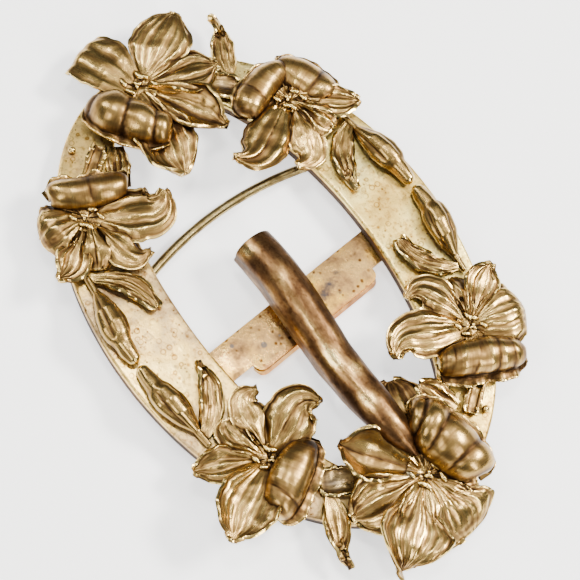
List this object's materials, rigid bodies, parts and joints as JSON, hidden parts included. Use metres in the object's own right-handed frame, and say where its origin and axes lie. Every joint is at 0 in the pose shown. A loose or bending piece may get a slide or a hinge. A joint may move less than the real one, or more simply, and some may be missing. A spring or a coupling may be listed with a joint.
{
  "type": "sash buckle",
  "caption": "Oval gilt sash buckle with a bent pierced frame, cast lilies, buds and leaves, a cross bar, a bowed wire and a hollow hinged tongue.",
  "frame": {"origin": "centre of the oval frame, on the surface that the buckle's back lies on", "axes": "+X along the oval's long axis towards the tongue's tip, +Y across it, +Z out through the front face"},
  "size_m": [0.1008, 0.0631, 0.0137],
  "materials": {
    "gilt_plate": "pale worn gilt with fine dark speckles",
    "gilt_bar": "satin gilt with a copper coloured rolled edge",
    "brass_wire": "dull drawn brass",
    "worn_patina": "reddish brown patina worn back to gold in patches",
    "gilt_castings": "cast gilt, bright on edges and ribs, brown in the hollows",
    "gilt_buds": "cast gilt with dark grooves"
  },
  "bodies": {
    "frame": {"frame_plate": "gilt_plate", "cross_bar": "gilt_bar", "sash_wire": "brass_wire", "end_lily_right": "gilt_castings", "end_lily_left": "gilt_castings", "curled_lily_right": "gilt_castings", "curled_lily_left": "gilt_castings", "side_lily_right": "gilt_castings", "side_lily_left": "gilt_castings", "bud_spray_lower_right": "gilt_buds", "bud_spray_upper_left": "gilt_buds", "bud_spray_upper_right": "gilt_buds", "bud_spray_lower_left": "gilt_buds", "end_stem_right": "gilt_castings", "end_stem_left": "gilt_castings", "flank_stem_right": "gilt_castings", "flank_stem_left": "gilt_castings"},
    "tongue": {"tongue": "worn_patina"}
  },
  "joints": [
    {"name": "tongue_hinge", "type": "hinge", "parent": "frame", "child": "tongue", "pos_m": [0.01006, 0.00068, 0.00202], "axis": [0.0872, -0.9962, 0], "range_deg": [0, 15]}
  ]
}
